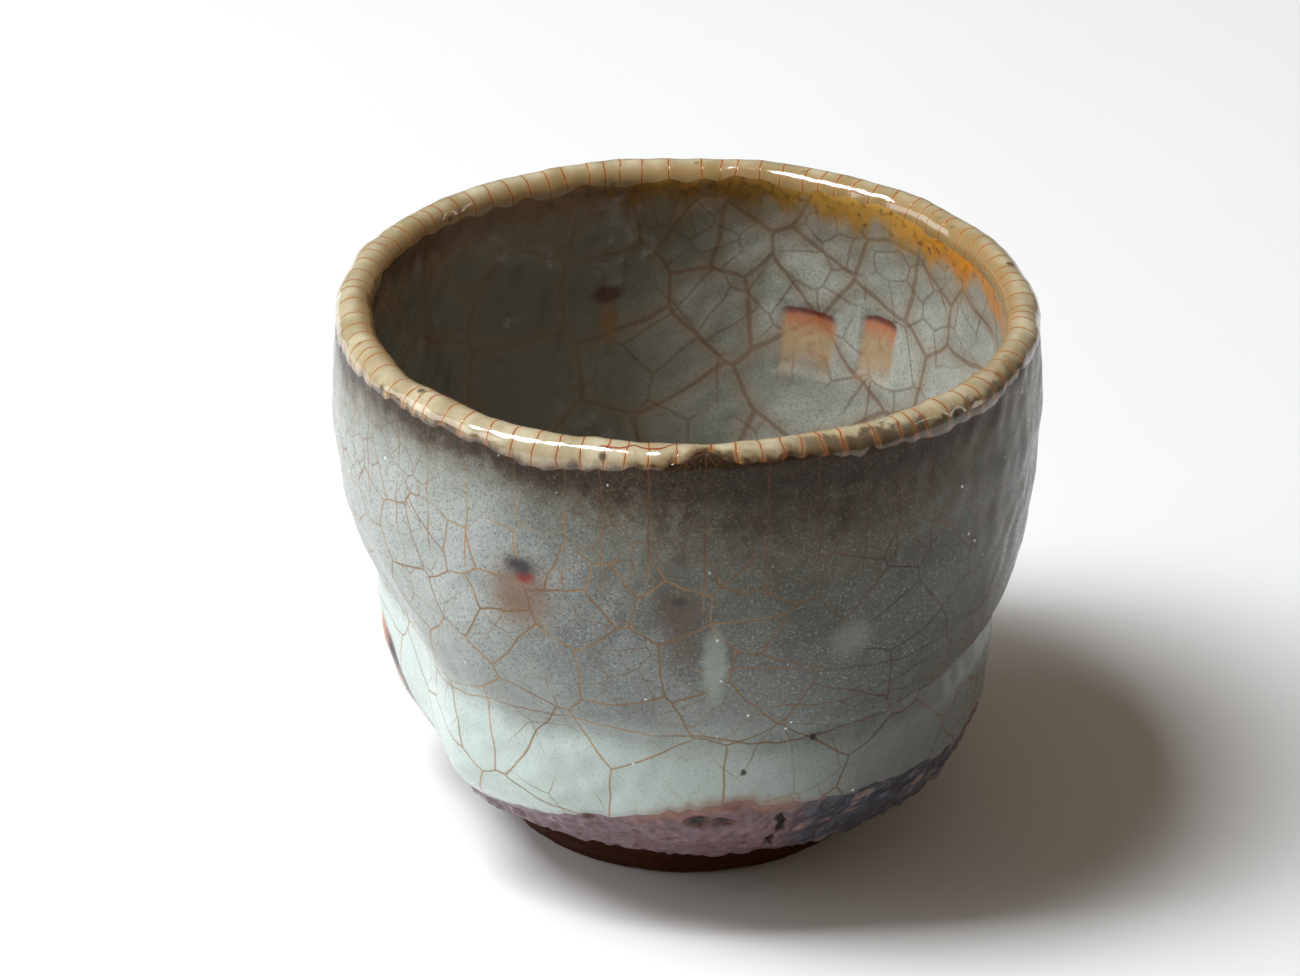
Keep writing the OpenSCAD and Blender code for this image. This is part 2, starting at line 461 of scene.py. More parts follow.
def through(turns, knots, width=6.0):
    """A soft line round the cup past the values that are known at some turns."""
    knot_turns, values = np.array(knots, float).T
    weights = np.exp(-((away(turns[..., None], knot_turns) / width) ** 2)) + 1e-9
    return (weights * values).sum(axis=-1) / weights.sum(axis=-1)


def round_wave(turns, size, seed):
    """A wavering value round the cup, about 1 high, with waves of that many degrees."""
    a = np.radians(turns)
    return swells(np.stack([np.sin(a), np.cos(a), 0 * a], axis=-1), np.radians(size), seed)


def height_place(z):
    """How far along the outline the outer wall reaches a height."""
    outer = (along >= hem_at) & (along <= lip_start)
    return np.interp(z, outline[outer, 1], along[outer])


# Where the glaze stops at the hem, where its thick roll starts, and the two edges of the lip's coat.
def roll_bottom(turns):
    knots = [(-180, 0.9), (-140, 1.4), (-100, 0.8), (-70, 1.2), (-35, 2.4), (-20, 2.2), (-7, 1.7),
             (12, 0.8), (33, 0.9), (52, 1.4), (90, 0.8), (135, 1.3)]
    return hem_at + through(turns, knots, 14) + 0.1 * round_wave(turns, 11, 22)


def roll_top(turns):
    knots = [(-180, 12.4), (-150, 12.9), (-125, 11.6), (-105, 9.8), (-80, 8.9), (-60, 8.9), (-44, 9.4),
             (-35, 10.6), (-30, 11.8), (-24, 12.4), (-16, 12.9), (-9, 14.0), (-2, 15.0), (9, 15.4),
             (20, 14.4), (30, 14.2), (42, 14.0), (52, 13.0), (66, 12.3), (90, 12.0), (120, 12.9),
             (150, 12.2)]
    z = through(turns, knots) + 0.12 * round_wave(turns, 9, 23) + 0.1 * round_wave(turns, 3.5, 24)
    return height_place(z)


def lip_bottom(turns):
    knots = [(-150, -0.2), (-110, 0.3), (-75, -0.2), (-50, 0.1), (-34, 0.0), (-23, -0.9), (-15, -0.45),
             (-8, 0.05), (2, 0.5), (14, 0.4), (25, 0.1), (45, -0.3), (75, 0.2), (110, -0.2), (150, 0.2)]
    notch = 0.9 * np.exp(-((away(turns, 2.2) / 2.2) ** 2))
    jags = 0.12 * round_wave(turns, 9, 25) + 0.1 * round_wave(turns, 3, 26)
    return lip_start + through(turns, knots) + notch + jags


def lip_inside(turns):
    return lip_end + 0.3 * round_wave(turns, 40, 27) + 0.15 * round_wave(turns, 8, 28) - 0.1


# How many turns' worth of wall lie up to each place on the outline. Rings of the wall spread out by
# its exponential keep their shapes, so cracks drawn on the flat rings aren't stretched.
ring_sum = np.cumsum(outline_step / np.maximum(outline[:, 0], 0.02))
spread_middle = 31.0


def spread_at(middle, way):
    at_middle = np.interp(middle, along, ring_sum)
    return lambda s, turns: spread_middle * np.exp(way * (np.interp(s, along, ring_sum) - at_middle))


inner_spread = spread_at(place_of(bowl_r, spread_middle), -1)
outer_spread = spread_at(height_place(spread_middle), 1)


# The two finger marks: turn, height, half width and half height, on a wall of that radius.
inner_r = 30.0
finger_marks = [(154.7, 34.9, 3.3, 3.5), (138.9, 36.0, 2.3, 3.4)]


def inner_coat(s, turns):
    points = true_form(s, turns)
    t = glaze_t * (1 + 0.14 * swells(points, 8, 31) + 0.05 * swells(points, 3, 32))
    for turn, z, half_w, half_h in finger_marks:
        arc = np.radians(away(turns, turn)) * inner_r
        size = np.maximum(np.abs(arc) / half_w, np.abs(points[..., 2] - z) / half_h)
        inner = rise(s, lip_end, lip_end + 2)
        t = t - 0.22 * rise(-size, -1.15, -0.75) * inner
    return t


def lip_share(s, turns):
    """1 on the lip's coat and 0 off it, with a soft edge."""
    on = rise(s - lip_bottom(turns), 0.0, 0.5)
    return on * rise(lip_inside(turns) - s, 0.0, 0.8)


# The larger burst blisters, on a wall of that radius: turn, height, half width, half height and depth.
roll_r = 28.0
roll_holes = [(-18.0, 13.1, 0.8, 0.55, 0.5), (1.5, 13.3, 1.35, 0.6, 0.5), (6.0, 13.2, 1.3, 0.5, 0.45),
              (-9.5, 11.4, 0.5, 0.4, 0.35), (11.5, 9.4, 0.6, 0.35, 0.3), (28.0, 10.5, 0.6, 0.5, 0.35)]


def fissure_gap(turns, z):
    """How far a place is from the crack in the roll, in millimetres."""
    middle = 14.7 + (z - 7.8) * 0.44 + 0.5 * np.sin(z * 2.3) + 0.3 * np.sin(z * 5.1 + 1)
    over = np.maximum(np.maximum(7.6 - z, z - 12.9), 0)
    return np.hypot(np.radians(away(turns, middle)) * 28.5, over)


def roll_pits(points, turns):
    """Pinholes and blisters that burst in the thick roll, as depth in millimetres."""
    draw = np.random.default_rng(41)
    count = 230
    width = draw.uniform(0.15, 0.5, count)
    where = np.stack([draw.uniform(-180, 180, count), draw.uniform(6.4, 13.4, count), width,
                      width * draw.uniform(0.6, 1.0, count), draw.uniform(0.08, 0.28, count)], axis=1)
    depth = 0.0 * turns
    for turn, z, half_w, half_h, deep in [*where.tolist(), *roll_holes]:
        arc = np.radians(away(turns, turn)) * roll_r
        near = np.hypot(arc / half_w, (points[..., 2] - z) / half_h)
        depth = np.maximum(depth, deep * np.exp(-1.2 * near**2))
    return depth


def outer_coat(s, turns):
    """The outer coat, its thick roll and the lip's coat, which all run into each other."""
    points = true_form(s, turns)
    t = glaze_t * (1 + 0.12 * swells(points, 9, 31) + 0.05 * swells(points, 3, 32))
    down = rise(roll_top(turns) - s, -0.4, 4.5)
    thin = rise(-np.abs(away(turns, -28)), -55, -15)
    t = t + (roll_t - 0.35 * thin - glaze_t) * down * (1 + 0.22 * swells(points, 5, 33))
    beads = rise(roll_top(turns) - s, 0.0, 1.0)
    t = t + beads * (0.07 * swells(points, 2.2, 34) + 0.04 * swells(points, 0.9, 35))
    off_edge = np.clip((s - roll_bottom(turns)) / 0.9, 0, 1)
    return t * np.sqrt(1 - (1 - off_edge) ** 2 + 1e-6)


def roll_coat(s, turns):
    """The same, less the pits and the crack in the roll."""
    points = true_form(s, turns)
    shown = rise(roll_top(turns) - s, 0.0, 0.7) * rise(s - roll_bottom(turns), 0.1, 0.8)
    t = outer_coat(s, turns)
    crack = np.exp(-((fissure_gap(turns, points[..., 2]) / 0.33) ** 2))
    return np.maximum(t - (roll_pits(points, turns) + 0.75 * crack) * shown, 0.08)


def lip_coat(s, turns):
    """The inner and outer coats run together over the lip, and the thin cream coat is over both."""
    share = rise(s, lip_start, lip_end)
    t = (1 - share) * outer_coat(s, turns) + share * inner_coat(s, turns)
    return t + lip_share(s, turns) * 0.05


def coat_piece(name, start, end, coat, spacing, steps, marks, back_spacing=1.0, pole=False):
    """One coat of glaze as a closed shell, from one edge to the other and back inside the clay. The
    back's rows are close enough to follow each step in the wall."""
    turns = np.linspace(-180, 180, steps, endpoint=False)
    length = float(np.mean(end(turns) - start(turns)))
    share = np.linspace(0, 1, int(length / spacing) + 2)[:, None]
    front = start(turns) + (end(turns) - start(turns)) * share
    back_share = np.linspace(1, 0, max(int(length / back_spacing), 8))[:, None]
    back = start(turns) + (end(turns) - start(turns)) * back_share
    points = surface(front, turns, coat)
    ways = facing(front, turns, coat)
    hidden = surface(back, turns, lambda s, turns: 0.0 * s - back_depth)
    if pole:
        points[-1] = points[-1].mean(axis=0)
        hidden[0] = hidden[0].mean(axis=0)
        ways[-1] = (0, 0, 1)
    named = []
    for mark, values in marks.items():
        named.append((mark, np.vstack([values(front, turns), 0 * back])))
    return make_piece(name, np.vstack([points, hidden]), np.vstack([ways, 0 * hidden]), True, named)


inner = coat_piece(
    "inner_coat", lip_inside, lambda turns: bowl_at + 0 * turns, lip_coat, 0.44, 600,
    back_spacing=2.5, pole=True,
    marks={"below_lip": lambda s, turns: s - lip_inside(turns), "spread": inner_spread},
)

paint = Finish("inner_celadon")
back_turn = paint.math("MULTIPLY", paint.math("ARCTAN2", paint.x, paint.y), 180 / math.pi)
arc = paint.math("MULTIPLY", back_turn, math.pi / 180 * inner_r)
flat = paint.bent(paint.join(arc, 0.0, paint.z), 1.8, 0.3, 6)
wide = paint.cracks(11.0, 0.6, 2)
halo = paint.cracks(11.0, 2.6, 2)
fine = paint.cracks(5.5, 0.36, 5)
some = paint.rise(paint.noise(8, 7), 0.36, 0.52)
speck = paint.noise(0.28, 7, detail=3)
clouds = paint.noise(9, 8, detail=3)
colour = paint.mix(clouds, srgb(148, 149, 140), srgb(184, 186, 177))
# Painted shade: the inner wall on the left, where the key light doesn't reach, is darkened towards
# brown-grey.
painted_shade_left = paint.rise(paint.math("ADD", paint.x, paint.math("MULTIPLY", clouds, 18)), 30, -8)
colour = paint.mix(paint.math("MULTIPLY", painted_shade_left, 0.85), colour, srgb(82, 76, 60))
colour = paint.mix(paint.rise(speck, 0.42, 0.72, 0.0, 0.45), colour, srgb(84, 82, 72))
colour = paint.mix(paint.math("MULTIPLY", halo, 0.28), colour, srgb(132, 102, 66))
colour = paint.mix(paint.math("MULTIPLY", paint.math("MULTIPLY", fine, some), 0.45), colour,
                   srgb(106, 82, 54))
colour = paint.mix(paint.math("MULTIPLY", wide, 0.55), colour, srgb(108, 80, 52))
drip_at = paint.join(arc, 0.0, paint.math("MULTIPLY", paint.z, 0.22))
drip = paint.noise(2.4, 9, detail=3, at=drip_at)
fall = paint.mark("below_lip")
fall = paint.math("ADD", fall, paint.math("MULTIPLY", paint.math("SUBTRACT", drip, 0.5), 7.5))
amber = paint.rise(fall, 3.4, 0.9)
# Painted light and shade: the amber run is painted lighter and more orange towards the lit right, and
# darker on the shaded left.
painted_light_orange = paint.math("MULTIPLY", paint.rise(back_turn, 38, 68), paint.rise(back_turn, 125, 95))
painted_light_golden = paint.math("MULTIPLY", paint.rise(back_turn, 8, 40), paint.rise(back_turn, 165, 110))
amber_colour = paint.mix(painted_light_golden, srgb(120, 84, 24), srgb(182, 136, 58))
amber_colour = paint.mix(painted_light_orange, amber_colour, srgb(202, 128, 26))
painted_shade_amber = paint.math("MULTIPLY", paint.rise(back_turn, -20, -70), paint.rise(back_turn, -170, -120))
amber_colour = paint.mix(painted_shade_amber, amber_colour, srgb(72, 48, 22))
amber_colour = paint.mix(paint.rise(paint.noise(0.9, 10, detail=3), 0.5, 0.7, 0.0, 0.7),
                         amber_colour, srgb(66, 40, 18))
colour = paint.mix(paint.rise(fall, 6.5, 3.0, 0.0, 0.4), colour, srgb(128, 104, 66))
colour = paint.mix(paint.math("MULTIPLY", amber, 0.92), colour, amber_colour)
split = paint.node("SeparateXYZ", {0: flat}, 0), paint.node("SeparateXYZ", {0: flat}, 2)
for mark_turn, mark_z, half_w, half_h in finger_marks:
    # A finger mark is burnt maroon along its top edge, orange under that, and fades to tan.
    middle = math.radians(180 - mark_turn) * inner_r
    aside = paint.math("ABSOLUTE", paint.math("SUBTRACT", split[0], middle))
    bow = paint.math("MULTIPLY", paint.math("POWER", paint.math("DIVIDE", aside, half_w), 2.0), 0.5)
    top = paint.math("SUBTRACT", mark_z + half_h, bow)
    under = paint.math("SUBTRACT", top, split[1])
    across = paint.rise(aside, half_w * 1.08, half_w * 0.7)
    ragged = paint.math("ADD", under, paint.math("MULTIPLY", drip, 3.0))
    body = paint.math("MULTIPLY", across, paint.rise(under, 0.0, 0.35))
    body = paint.math("MULTIPLY", body, paint.rise(ragged, half_h * 2 + 2.4, half_h * 1.2 + 1.2))
    burn = paint.mix(paint.rise(under, 1.0, 3.0), srgb(180, 106, 66), srgb(172, 142, 104))
    burn = paint.mix(paint.rise(paint.noise(0.9, 11), 0.5, 0.7, 0.0, 0.5), burn, srgb(150, 96, 58))
    burn = paint.mix(paint.rise(under, 1.15, 0.5), burn, srgb(104, 34, 20))
    colour = paint.mix(paint.math("MULTIPLY", body, 0.82), colour, burn)
spot_x = math.radians(-15) * inner_r
trail = paint.spot(flat, (spot_x, 0.0, 36.6), (0.9, 1.0, 2.6), 0.6)
colour = paint.mix(paint.math("MULTIPLY", trail, 0.7), colour, srgb(136, 96, 44))
stain = paint.spot(flat, (spot_x, 0.0, 38.7), (1.5, 1.0, 0.9), 0.4)
colour = paint.mix(paint.math("MULTIPLY", stain, 0.95), colour, srgb(82, 34, 20))
rough = paint.rise(speck, 0.2, 0.8, 0.16, 0.3)
relief = paint.math("SUBTRACT", paint.noise(1.4, 12), paint.math("MULTIPLY", wide, 0.5))
inner.data.materials.append(
    paint.done(colour, rough, relief, 0.03, Specular_IOR_Level=0.4, Coat_Weight=0.3, Coat_Roughness=0.06)
)
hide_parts("inner_glaze")
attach(inner, "root")

# ------------------------------------------------------------------------------ outer glaze
# The cup was dipped for this coat. It is a grey-green ash glaze, finely speckled, that crazed as it
# cooled and was stained in its cracks. Iron bled up through it where it is thin, under the lip.

outer = coat_piece(
    "outer_coat", roll_top, lip_bottom, outer_coat, 0.36, 640,
    marks={
        "below_lip": lambda s, turns: lip_bottom(turns) - s,
        "above_roll": lambda s, turns: s - roll_top(turns),
        "spread": outer_spread,
    },
)


wall_r = 31.0


def wall_places(paint, radius=wall_r):
    """The turn of a place, and how far round the wall that is at a radius."""
    turn = paint.math("MULTIPLY", paint.math("ARCTAN2", paint.x, paint.math("MULTIPLY", paint.y, -1)),
                      180 / math.pi)
    return turn, paint.math("MULTIPLY", turn, math.pi / 180 * radius)


def part_way(paint, turn, start, full, end, gone):
    """1 between two turns, with soft ends, and 0 round the rest of the cup."""
    return paint.math("MULTIPLY", paint.rise(turn, start, full), paint.rise(turn, gone, end))


def on_wall(turn, z):
    """A place on the unrolled wall."""
    return (math.radians(turn) * wall_r, 0.0, z)


def speckled(paint, colour, dark, light, share=0.5):
    """Fine salt-and-pepper crystals in a colour."""
    fine = paint.noise(0.24, 13, detail=2, rough=0.7)
    colour = paint.mix(paint.rise(fine, 0.5, 0.72, 0.0, share), colour, dark)
    return paint.mix(paint.rise(fine, 0.46, 0.3, 0.0, share), colour, light)


paint = Finish("outer_celadon")
turn, arc = wall_places(paint)
below_lip = paint.mark("below_lip")
above_roll = paint.mark("above_roll")
flat = paint.bent(paint.join(arc, 0.0, paint.z), 1.5, 0.4, 6)
flat = paint.bent(flat, 0.5, 0.16, 7)
shoulder = paint.math("ADD", paint.z, paint.math("MULTIPLY", paint.noise(7, 52), 8))
upright = paint.math("MULTIPLY", paint.upright_cracks(arc, 4.2, 0.2, 3, 0.13, 9.0),
                     paint.rise(shoulder, 41, 44))
upright = paint.math("MULTIPLY", upright, paint.rise(paint.noise(7, 53), 0.35, 0.55, 0.25, 1.0))
main = paint.math("MULTIPLY", paint.cracks(5.8, 0.24, 3), paint.rise(shoulder, 48.5, 45.5))
main = paint.math("MAXIMUM", main, upright)
fine = paint.cracks(3.6, 0.15, 7)
some = paint.rise(paint.noise(8, 14), 0.42, 0.58)
clouds = paint.noise(8, 15, detail=3)
mottle = paint.noise(1.6, 16, detail=3)


def level_crack(middle, sway, waves, first_turn, seed):
    """A long crack that runs round the wall, as 1 on its line and 0 off it."""
    swing = paint.math("SINE", paint.math("MULTIPLY", paint.math("SUBTRACT", turn, first_turn),
                       math.radians(waves)))
    line = paint.math("ADD", middle, paint.math("MULTIPLY", swing, sway))
    line = paint.math("ADD", line, paint.math("MULTIPLY", paint.noise(4, seed), 1.6))
    off = paint.math("ABSOLUTE", paint.math("SUBTRACT", paint.z, line))
    return paint.rise(off, 0.05, 0.14, 1.0, 0.0)


long_cracks = level_crack(21.6, 1.1, 4, -44.5, 61)
for middle, sway, waves, first_turn, seed, start in (
    (28.4, 1.4, 5, -13, 62, -4), (25.2, 0.9, 6, -20, 63, 8),
):
    crack = level_crack(middle, sway, waves, first_turn, seed)
    crack = paint.math("MULTIPLY", crack, part_way(paint, turn, start, start + 8, 90, 130))
    long_cracks = paint.math("MAXIMUM", long_cracks, crack)
low = paint.math("ADD", paint.z, paint.math("MULTIPLY", clouds, 6))
lit = part_way(paint, turn, -150, -100, -42, -6)
shaded = part_way(paint, turn, -6, 36, 110, 160)
colour = paint.mix(paint.rise(clouds, 0.35, 0.65), srgb(98, 100, 97), srgb(134, 138, 135))
colour = paint.mix(paint.math("MULTIPLY", lit, 0.8), colour, srgb(172, 177, 173))
colour = paint.mix(paint.rise(low, 35, 27, 0.0, 0.5), colour, srgb(150, 155, 151))
colour = paint.mix(paint.rise(low, 27.5, 22.5, 0.0, 0.85), colour, srgb(200, 213, 208))
colour = paint.mix(paint.math("MULTIPLY", shaded, 0.85), colour, srgb(76, 77, 72))
smoother = part_way(paint, turn, 22, 62, 100, 150)
grains = paint.math("MULTIPLY", paint.rise(paint.z, 15, 34, 0.25, 0.68),
                    paint.math("SUBTRACT", 1.0, paint.math("MULTIPLY", smoother, 0.65)))
colour = speckled(paint, colour, srgb(54, 56, 54), srgb(176, 182, 178), grains)
reach = paint.rise(paint.math("ABSOLUTE", paint.math("SUBTRACT", turn, 15.0)), 10, 42, 7.5, 2.4)
iron = paint.math("DIVIDE", below_lip, reach)
iron = paint.math("ADD", iron, paint.math("MULTIPLY", paint.math("SUBTRACT", mottle, 0.5), 1.4))
iron_dark = speckled(paint, srgb(44, 30, 16), srgb(16, 10, 6), srgb(96, 80, 54), 0.8)
colour = paint.mix(paint.rise(iron, 3.4, 1.2, 0.0, 0.45), colour, srgb(86, 81, 60))
colour = paint.mix(paint.rise(iron, 1.7, 0.6, 0.0, 0.7), colour,
                   speckled(paint, srgb(76, 62, 42), srgb(34, 26, 18), srgb(112, 102, 78), 0.8))
colour = paint.mix(paint.rise(iron, 1.0, 0.2, 0.0, 0.95), colour, iron_dark)
colour = paint.mix(paint.rise(below_lip, 0.5, 0.1, 0.0, 0.8), colour, srgb(50, 34, 20))
tea = paint.mix(paint.rise(low, 29, 23, 0.0, 0.65), srgb(150, 118, 80), srgb(170, 140, 98))
tea = paint.mix(shaded, tea, srgb(62, 48, 38))
tea = paint.mix(paint.rise(clouds, 0.4, 0.6, 0.0, 0.7), tea, srgb(112, 80, 50))
tea = paint.mix(paint.rise(iron, 1.7, 0.6, 0.0, 0.8), tea, srgb(72, 44, 24))
colour = paint.mix(paint.math("MULTIPLY", paint.math("MULTIPLY", fine, some), 0.65), colour, tea)
colour = paint.mix(paint.math("MULTIPLY", main, 0.85), colour, tea)
colour = paint.mix(paint.math("MULTIPLY", long_cracks, 0.8), colour, tea)
slant = paint.math("MULTIPLY", paint.math("SUBTRACT", paint.z, 13.5), 0.75)
leaning = paint.vector("ADD", flat, paint.join(slant, 0.0, 0.0))
for at, centre, radii, soft, share, stain in (
    (flat, on_wall(-26.6, 36.9), (2.5, 1, 3.2), 0.7, 0.75, srgb(122, 88, 62)),
    (flat, on_wall(-29.5, 35.6), (1.6, 1, 1.8), 0.8, 0.35, srgb(128, 106, 74)),
    (flat, on_wall(-25.8, 38.9), (0.8, 1, 0.6), 0.6, 0.9, srgb(126, 38, 28)),
    (flat, on_wall(-26.8, 39.9), (1.3, 1, 0.8), 0.7, 0.92, srgb(44, 42, 52)),
    (flat, on_wall(-1.9, 36.8), (1.7, 1, 2.2), 0.7, 0.65, srgb(94, 70, 56)),
    (flat, on_wall(-1.6, 38.2), (0.6, 1, 0.5), 0.6, 0.7, srgb(48, 44, 46)),
    (flat, on_wall(-1.0, 33.0), (1.2, 1, 1.6), 0.9, 0.4, srgb(104, 78, 58)),
    (flat, on_wall(3.9, 31.0), (1.0, 1, 3.9), 0.4, 0.7, srgb(158, 168, 158)),
    (flat, on_wall(26.0, 32.3), (1.8, 1, 1.7), 0.7, 0.5, srgb(142, 146, 136)),
    (flat, on_wall(9.1, 18.5), (0.3, 1, 0.3), 0.5, 0.9, srgb(44, 32, 24)),
    (flat, on_wall(21.7, 21.2), (0.35, 1, 0.35), 0.5, 0.9, srgb(44, 32, 24)),
    (leaning, on_wall(-87.8, 14.6), (1.5, 1, 3.6), 0.45, 0.85, srgb(176, 100, 52)),
    (leaning, on_wall(-85.4, 13.2), (1.25, 1, 3.3), 0.35, 0.95, srgb(38, 24, 40)),
):
    colour = paint.mix(paint.math("MULTIPLY", paint.spot(at, centre, radii, soft), share), colour, stain)
rust_edge = part_way(paint, turn, -12, -2, 16, 26)
rust_edge = paint.math("MULTIPLY", rust_edge, paint.rise(paint.math("ADD", above_roll,
                       paint.math("MULTIPLY", mottle, 2.0)), 2.4, 1.0))
colour = paint.mix(paint.math("MULTIPLY", rust_edge, 0.55), colour, srgb(150, 112, 78))
colour = paint.mix(paint.rise(above_roll, 0.9, 0.0, 0.0, 0.35), colour, srgb(118, 104, 104))
stars = paint.grit(2.1, 8)
keep = paint.rise(paint.noise(2.3, 17), 0.5, 0.58)
stars = paint.math("MULTIPLY", paint.rise(stars, 0.05, 0.09, 1.0, 0.0), keep)
colour = paint.mix(stars, colour, srgb(226, 232, 228))
rough = paint.rise(paint.noise(0.5, 18), 0.25, 0.75, 0.2, 0.36)
relief = paint.math("SUBTRACT", paint.noise(0.7, 19), paint.math("MULTIPLY", main, 0.5))
outer.data.materials.append(
    paint.done(colour, rough, relief, 0.02, Specular_IOR_Level=0.22, Coat_Weight=0.08,
               Coat_Roughness=0.05)
)
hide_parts("outer_glaze")
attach(outer, "root")

# ------------------------------------------------------------------------------ lip glaze
# A thin cream coat, where the inner and outer coats overlap over the lip and the fire kept them
# bright. It crazed straight across the lip, and stops in a ragged brown line on the outside.

lip = coat_piece(
    "lip_coat", lip_bottom, lip_inside, lip_coat, 0.14, 720,
    marks={"above_edge": lambda s, turns: s - lip_bottom(turns)},
)

paint = Finish("cream_lip")
turn, arc = wall_places(paint)
above_edge = paint.mark("above_edge")
radial = paint.upright_cracks(arc, 2.1, 0.15, 9, 0.14, 3.0)
radial_halo = paint.upright_cracks(arc, 2.1, 0.7, 9, 0.14, 3.0)
r = paint.vector("LENGTH", paint.join(paint.x, paint.y, 0.0))
mottle = paint.noise(1.1, 20, detail=4)
clouds = paint.noise(4, 21, detail=3)
colour = paint.mix(paint.rise(clouds, 0.3, 0.7), srgb(154, 140, 108), srgb(190, 180, 152))
colour = paint.mix(paint.rise(mottle, 0.5, 0.72, 0.0, 0.5), colour, srgb(160, 134, 92))
colour = paint.mix(paint.rise(r, 31.4, 29.9, 0.0, 0.85), colour, srgb(144, 114, 68))
ragged = paint.math("ADD", above_edge, paint.math("MULTIPLY", paint.math("SUBTRACT", mottle, 0.5), 1.8))
colour = paint.mix(paint.rise(ragged, 1.0, 0.2, 0.0, 0.75), colour, srgb(110, 84, 52))
colour = paint.mix(paint.rise(ragged, 0.45, 0.0, 0.0, 0.9), colour, srgb(56, 38, 22))
# Painted shade: on the right, the lower outer side of the rounded lip is darkened, where shade falls
# under it.
painted_lip_shade = part_way(paint, turn, 10, 24, 50, 80)
painted_lip_shade = paint.math("MULTIPLY", painted_lip_shade, paint.rise(paint.math("ADD", ragged, mottle), 2.3, 1.5))
colour = paint.mix(paint.math("MULTIPLY", painted_lip_shade, 0.85), colour, srgb(70, 50, 30))
colour = paint.mix(paint.math("MULTIPLY", radial_halo, 0.3), colour, srgb(186, 128, 70))
colour = paint.mix(paint.math("MULTIPLY", radial, 0.9), colour, srgb(122, 66, 32))
seam_at = paint.math("ADD", 1.2, paint.math("MULTIPLY", clouds, 0.7))
seam_off = paint.math("SUBTRACT", above_edge, seam_at)
seam = paint.rise(paint.math("ABSOLUTE", seam_off), 0.05, 0.12, 1.0, 0.0)
seam = paint.math("MULTIPLY", seam, part_way(paint, turn, -16, -13, -3, -1))
colour = paint.mix(paint.math("MULTIPLY", seam, 0.9), colour, srgb(134, 58, 30))
pit = paint.rise(paint.grit(3.4, 11), 0.08, 0.17, 1.0, 0.0)
pit = paint.math("MULTIPLY", pit, paint.rise(paint.noise(4, 22), 0.46, 0.54))
colour = paint.mix(paint.math("MULTIPLY", pit, 0.85), colour, srgb(58, 54, 36))
rough = paint.rise(mottle, 0.25, 0.75, 0.1, 0.2)
relief = paint.math("SUBTRACT", paint.noise(0.9, 23), paint.math("MULTIPLY", radial, 0.6))
lip.data.materials.append(
    paint.done(colour, rough, relief, 0.02, Coat_Weight=0.6, Coat_Roughness=0.03)
)
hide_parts("lip_glaze")
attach(lip, "root")

# ------------------------------------------------------------------------------ glaze roll
# The outer coat ran down the wall in the fire and stopped above the foot in a thick mauve roll. It
# boiled there, and froze with burst blisters, pinholes and a crack across its front.

roll = coat_piece(
    "glaze_run", roll_bottom, roll_top, roll_coat, 0.2, 900,
    marks={
        "hole": lambda s, turns: outer_coat(s, turns) - roll_coat(s, turns),
        "below_top": lambda s, turns: roll_top(turns) - s,
    },
)

paint = Finish("mauve_run")
turn, arc = wall_places(paint, roll_r)
hole = paint.mark("hole")
below_top = paint.mark("below_top")
mottle = paint.noise(1.0, 25, detail=4)
clouds = paint.noise(4.5, 26, detail=2)
grains = paint.noise(0.3, 29, detail=2)
streak_at = paint.join(arc, 0.0, paint.math("ADD", paint.math("MULTIPLY", paint.z, 2.2),
                       paint.math("MULTIPLY", arc, -0.5)))
streak = paint.noise(2.4, 27, detail=3, at=streak_at)
colour = paint.mix(clouds, srgb(88, 61, 66), srgb(124, 95, 102))
colour = paint.mix(paint.rise(mottle, 0.45, 0.7, 0.0, 0.65), colour, srgb(78, 54, 56))
colour = paint.mix(paint.rise(mottle, 0.42, 0.25, 0.0, 0.5), colour, srgb(172, 146, 146))
colour = paint.mix(paint.rise(grains, 0.52, 0.7, 0.0, 0.45), colour, srgb(66, 46, 48))
colour = paint.mix(paint.rise(grains, 0.4, 0.26, 0.0, 0.3), colour, srgb(182, 156, 152))
blue = part_way(paint, turn, 15, 24, 58, 78)
blue = paint.math("MULTIPLY", blue, paint.rise(streak, 0.36, 0.46))
slate = paint.mix(paint.rise(streak, 0.42, 0.6), srgb(50, 64, 76), srgb(24, 32, 41))
colour = paint.mix(paint.math("MULTIPLY", blue, 0.85), colour, slate)
tan_streak = paint.math("MULTIPLY", part_way(paint, turn, 14, 20, 60, 90),
                        paint.rise(streak, 0.44, 0.34))
colour = paint.mix(paint.math("MULTIPLY", tan_streak, 0.6), colour, srgb(132, 112, 98))
stain = part_way(paint, turn, -14, -5, 15, 24)
stain = paint.math("MULTIPLY", stain, paint.rise(paint.math("ADD", below_top,
                   paint.math("MULTIPLY", mottle, 1.6)), 2.4, 1.0))
colour = paint.mix(paint.math("MULTIPLY", stain, 0.55), colour, srgb(150, 104, 72))
behind = paint.rise(paint.math("ABSOLUTE", turn), 100, 150)
colour = paint.mix(paint.math("MULTIPLY", behind, paint.rise(streak, 0.5, 0.6)), colour, slate)
edge = paint.math("SUBTRACT", 8.6, paint.math("ADD", paint.z, paint.math("MULTIPLY", streak, 2)))
colour = paint.mix(paint.rise(edge, 0.0, 1.6, 0.0, 0.5), colour, srgb(84, 54, 50))
colour = paint.mix(paint.rise(hole, 0.05, 0.22), colour, srgb(84, 46, 34))
colour = paint.mix(paint.rise(hole, 0.22, 0.42), colour, srgb(20, 13, 12))
rough = paint.rise(mottle, 0.25, 0.75, 0.24, 0.46)
relief = paint.noise(0.5, 28, detail=3)
roll.data.materials.append(
    paint.done(colour, rough, relief, 0.05, Specular_IOR_Level=0.4, Coat_Weight=0.15,
               Coat_Roughness=0.15)
)
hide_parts("glaze_roll")
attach(roll, "root")

# ------------------------------------------------------------------------------ floor and light
# A plain pale sheet under the cup and plain soft light. The main lamp is high on the left, a broader
# and weaker one is lower on the same side, and a faint warm one on the right opens the shadow.

